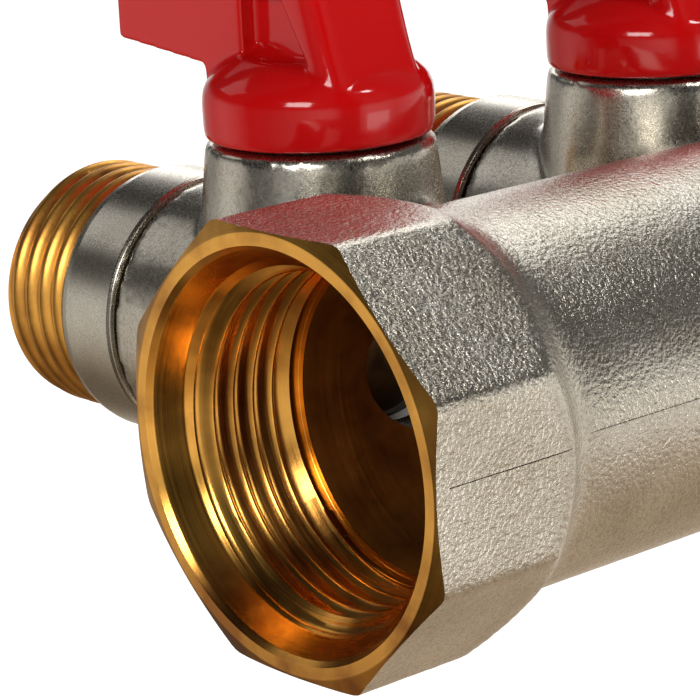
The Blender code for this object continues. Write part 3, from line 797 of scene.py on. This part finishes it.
# %% Ball, seats and tail ring
bpy.ops.object.select_all(action="DESELECT")
bpy.ops.mesh.primitive_uv_sphere_add(segments=64, ring_count=32, radius=8.1 * MM, location=first)
ball = bpy.context.object
ball.name = "ball_1"
bpy.ops.object.transform_apply(location=True, rotation=True, scale=True)
ball_bore = [(0.0, -9.0), (5.4, -9.0), (5.4, -6.35), (5.0, -5.95), (5.0, 5.95), (5.4, 6.35), (5.4, 9.0),
             (0.0, 9.0)]
# The bore and the slot take the second slot, the dark finish that paints the shade inside them.
paint(ball, [chrome, bore_shade_finish])
ball_bore = turn("ball_bore", ball_bore, first, "Y", 64)
paint(ball_bore, [chrome, bore_shade_finish], 1)
combine(ball, ball_bore, "DIFFERENCE")
ball_slot = [(-9.5, -1.8), (9.5, -1.8), (9.5, 1.8), (-9.5, 1.8)]
ball_slot = pull("ball_slot", ball_slot, 6.0, 6.0, first, "Z")
paint(ball_slot, [chrome, bore_shade_finish], 1)
combine(ball, ball_slot, "DIFFERENCE")
soften(ball, 30.0)


def seat_outline(side):
    """A seat is a ring with a hollow face, a hair wider than the ball it holds."""
    hollow_r, hole_r, lip_r = 8.4, 5.25, 6.75
    hole_angle, lip_angle = math.asin(hole_r / hollow_r), math.asin(lip_r / hollow_r)
    face = []
    for i in range(9):
        angle = hole_angle + (lip_angle - hole_angle) * i / 8
        face.append((hollow_r * math.sin(angle), side * hollow_r * math.cos(angle)))
    rim = [(7.7, side * 5.0), (7.9, side * 5.2), (7.9, side * 7.3), (7.7, side * 7.5),
           (hole_r, side * 7.5)]
    return face + rim


seat_inner = turn("seat_inner_1", seat_outline(-1), first, "Y", 64, True)
seat_outer = turn("seat_outer_1", seat_outline(1), first, "Y", 64, True)
for seat in (seat_inner, seat_outer):
    paint(seat, [ptfe])
    soften(seat)


def rubber_ring(name, ring_radius, height, thickness, centre, axis):
    sides = 20
    section = [(ring_radius + thickness * math.cos(math.tau * i / sides),
                height + thickness * math.sin(math.tau * i / sides)) for i in range(sides)]
    ring = turn(name, section, centre, axis, 96, True)
    paint(ring, [rubber])
    soften(ring, 60.0)
    return ring


tail_ring = rubber_ring("tail_o_ring_1", 8.375, 13.025, 0.575, first, "Y")
end_ring = rubber_ring("end_o_ring_1", 12.75, end_mm + 1.25, 0.94, (0.0, 0.0, 0.0), "X")
finish_piece(end_ring, "end_o_ring", "manifold")
print("inside the valve:", ball.name, seat_inner.name, seat_outer.name, tail_ring.name)

# %% [markdown]
# The stem has a tang that turns the ball, a flange that keeps it from blowing out, two sealed grooves and
# a square drive with a tapped hole. A slippery washer lies on the flange.

# %% Stem, stem seals and washer
stem_shape = [(0.0, 8.8), (4.7, 8.8), (4.9, 9.0), (4.9, 10.0), (4.7, 10.2), (3.8, 10.2), (3.8, 12.3),
              (2.5, 12.3), (2.5, 13.9), (3.8, 13.9), (3.8, 15.2), (2.5, 15.2), (2.5, 16.8), (3.8, 16.8),
              (3.8, 17.7), (3.5, 18.0), (0.0, 18.0)]
spindle = turn("stem_1", stem_shape, first, "Z", 64)
tang = [(-3.3, -1.5), (3.3, -1.5), (3.5, -1.3), (3.5, 1.3), (3.3, 1.5), (-3.3, 1.5), (-3.5, 1.3),
        (-3.5, -1.3)]
combine(spindle, pull("tang", tang, 6.3, 2.7, first, "Z"), "UNION")
drive = [(-2.0, -2.2), (2.0, -2.2), (2.2, -2.0), (2.2, 2.0), (2.0, 2.2), (-2.0, 2.2), (-2.2, 2.0),
         (-2.2, -2.0)]
combine(spindle, pull("drive", drive, 17.7, 4.3, first, "Z"), "UNION")
combine(spindle, turn("tapped", [(0.0, 18.4), (1.55, 18.4), (1.55, 22.5), (0.0, 22.5)], first, "Z", 32),
        "DIFFERENCE")
stem_brass = make_brass("stem_brass", "Z", first)
paint(spindle, [stem_brass])
soften(spindle)
stem_ring_low = rubber_ring("stem_o_ring_low_1", 3.3, 13.1, 0.5, first, "Z")
stem_ring_high = rubber_ring("stem_o_ring_high_1", 3.3, 16.0, 0.5, first, "Z")
washer = turn("washer_1", [(4.1, 10.5), (4.9, 10.5), (4.9, 11.1), (4.1, 11.1)], first, "Z", 64, True)
paint(washer, [ptfe])
soften(washer)
print("stem:", len(spindle.data.polygons), "faces")

# %% [markdown]
# ## The handle
# The red handle is a cup with a short upright lever. The cup is turned, the lever is pulled from its side
# view with rounded edges, and a sloping saddle lies between them. After a fine remesh the corners run
# into each other like a moulding, and the hollows are cut last so that they stay crisp.

# %% Outside of the handle
cup = [(0.0, 22.3), (5.9, 22.3), (6.8, 21.75), (7.7, 21.1), (8.45, 20.4), (8.78, 19.7), (8.88, 18.8),
       (8.85, 17.0), (8.8, 16.35), (8.65, 16.1), (0.0, 16.1)]
handle = turn("handle_1", cup, first, "Z", 128)
saddle = turn("saddle", [(0.0, 2.2), (2.6, 2.0), (4.0, 1.15), (5.3, 0.2), (6.5, -0.75), (7.2, -1.4),
                         (7.5, -1.8), (7.6, -2.3), (7.6, -2.9), (0.0, -2.9)], (0.0, 0.0, 0.0), "Z", 96)
saddle.rotation_euler = (math.radians(14.0), 0.0, 0.0)
saddle.location = (first[0], first[1], 21.5 * MM)
clear_selection()
saddle.select_set(True)
bpy.context.view_layer.objects.active = saddle
bpy.ops.object.transform_apply(location=True, rotation=True, scale=True)
combine(handle, saddle, "UNION")
lever = pull("lever", [(-7.7, 18.4), (-7.6, 19.9), (-7.3, 20.9), (-6.85, 22.0), (-6.3, 23.6),
                       (-4.3, 30.4), (18.3, 30.4), (18.3, 22.3), (7.7, 21.25), (7.3, 18.4)], -4.9, 9.5,
             first, "X")


def select_edges(piece, wanted):
    """Select the edges whose two ends both pass the test, in millimetres from the first stem."""
    bpy.ops.object.mode_set(mode="EDIT")
    bpy.ops.mesh.select_mode(type="EDGE")
    bpy.ops.mesh.select_all(action="DESELECT")
    bpy.ops.object.mode_set(mode="OBJECT")
    for edge in piece.data.edges:
        ends = [(piece.data.vertices[i].co - Vector(first)) / MM for i in edge.vertices]
        edge.select = all(wanted(end) for end in ends) and abs(ends[0][0] - ends[1][0]) < 0.1
    bpy.ops.object.mode_set(mode="EDIT")


select_edges(lever, lambda end: end[1] < -3.0 and end[2] > 18.0)
bpy.ops.mesh.bevel(offset=1.5 * MM, segments=6, profile=0.5)
select_edges(lever, lambda end: end[1] > 18.0)
bpy.ops.mesh.bevel(offset=0.25 * MM, segments=2)
bpy.ops.object.mode_set(mode="OBJECT")
hollow = [(-5.0, 21.4), (-1.65, 27.1), (2.85, 27.1), (2.85, 20.5), (-5.0, 20.5)]
for start in (-6.5, 3.4):
    combine(lever, pull("hollow", hollow, start, 3.1, first, "X"), "DIFFERENCE")
combine(handle, lever, "UNION")
handle_voxel = 0.21 * MM
even_skin(handle, handle_voxel, 14)
print("handle outside:", len(handle.data.polygons), "faces")

# %% [markdown]
# The inside is a ring-shaped space round a hub with a square hole. One lug in that space meets the stops
# on the body. A screw goes in from the top and a cap closes its hole.

# %% Inside of the handle
inside = [(0.0, 15.0), (7.3, 15.0), (7.3, 19.6), (5.2, 19.6), (5.2, 18.3), (0.0, 18.3)]
combine(handle, turn("inside", inside, first, "Z", 96), "DIFFERENCE")
square = [(-2.5, -2.5), (2.5, -2.5), (2.5, 2.5), (-2.5, 2.5)]
combine(handle, pull("square", square, 16.5, 5.8, first, "Z"), "DIFFERENCE")
screw_way = [(0.0, 33.0), (2.8, 33.0), (2.8, 25.0), (1.55, 25.0), (1.55, 21.8), (0.0, 21.8)]
combine(handle, turn("screw_way", screw_way, first, "Z", 64), "DIFFERENCE")
lug_angle = 225.0
combine(handle, pull("lug", wedge(4.9, 7.6, lug_angle, half_stop), 18.3, 1.5, first, "Z"), "UNION")
paint(handle, [red])
soften(handle, 42.0)
screw_shape = [(0.0, 27.3), (1.9, 27.3), (2.4, 26.9), (2.5, 26.6), (2.5, 25.3), (1.25, 25.3),
               (1.25, 19.0), (1.05, 18.8), (0.0, 18.8)]
screw = turn("screw_1", screw_shape, first, "Z", 48)
for half in ((1.8, 0.35), (0.35, 1.8)):
    cross = [(-half[0], -half[1]), (half[0], -half[1]), (half[0], half[1]), (-half[0], half[1])]
    combine(screw, pull("cross", cross, 26.3, 2.0, first, "Z"), "DIFFERENCE")
paint(screw, [zinc])
soften(screw)
cap = turn("cap_1", [(0.0, 30.05), (1.2, 30.15), (2.2, 30.05), (2.5, 29.8), (2.5, 29.0), (0.0, 29.0)],
           first, "Z", 64)
paint(cap, [red])
soften(cap)
print("handle:", len(handle.data.polygons), "faces, screw:", len(screw.data.polygons))


# %% [markdown]
# ## Three valves
# The other two valves are the same pieces again. Each copy gets its own mesh, moved along the bar, and
# every piece is told which body carries it: the handle and all that turns with it, or the fixed body.

# %% Copy the valve along the bar
valve_pieces = [
    (tailpiece, "tailpiece", "manifold", "turned_brass"),
    (tail_ring, "tail_o_ring", "manifold", "black_rubber"),
    (seat_inner, "seat_inner", "manifold", "ptfe"),
    (seat_outer, "seat_outer", "manifold", "ptfe"),
    (ball, "ball", "rotor", "chrome_ball"),
    (spindle, "stem", "rotor", "turned_brass"),
    (stem_ring_low, "o_ring_lower", "rotor", "black_rubber"),
    (stem_ring_high, "o_ring_upper", "rotor", "black_rubber"),
    (washer, "thrust_washer", "rotor", "ptfe"),
    (handle, "handle", "rotor", "red_plastic"),
    (screw, "screw", "rotor", "zinc_steel"),
    (cap, "cap", "rotor", "red_plastic"),
]
for number, stem in enumerate(stems, 1):
    for piece, node, body, slot in valve_pieces:
        twin = piece
        if number > 1:
            clear_selection()
            piece.select_set(True)
            bpy.context.view_layer.objects.active = piece
            bpy.ops.object.duplicate(linked=False)
            twin = bpy.context.object
            twin.name = piece.name.replace("_1", "_%d" % number)
            twin.location = (stem[0] - stems[0][0], 0.0, 0.0)
            bpy.ops.object.transform_apply(location=True, rotation=True, scale=True)
        carrier = "manifold" if body == "manifold" else "valve_%d_rotor" % number
        finish_piece(twin, "valve_%d_%s" % (number, node), carrier)
print("pieces:", 2 + 3 * len(valve_pieces))
